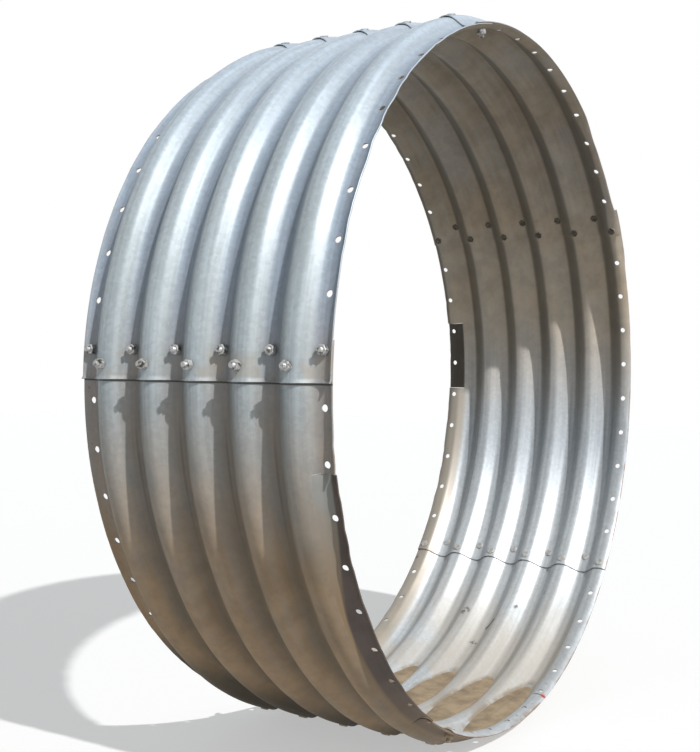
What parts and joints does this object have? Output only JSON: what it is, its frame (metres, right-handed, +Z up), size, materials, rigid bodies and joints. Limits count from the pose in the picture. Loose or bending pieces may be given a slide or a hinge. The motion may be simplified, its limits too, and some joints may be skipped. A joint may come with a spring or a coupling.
{
  "type": "bolted corrugated steel culvert ring",
  "caption": "Free-standing ring of a galvanised multi-plate culvert: curved corrugated plates, lapped and bolted, with open bolt holes round both rims.",
  "frame": {"origin": "on the floor below the ring's middle", "axes": "+Y along the ring's axis from the near rim to the far rim, +X to the right seen from the near rim, +Z up"},
  "size_m": [3.0041, 1.0746, 3.0005],
  "materials": {
    "galvanised_plate": "weathered hot-dip zinc with dust and rust stains"
  },
  "bodies": {
    "root": {"upper_left_plate": "galvanised_plate", "crown_plate": "galvanised_plate", "right_plate": "galvanised_plate", "lower_right_plate": "galvanised_plate", "lower_left_plate": "galvanised_plate"}
  },
  "joints": []
}
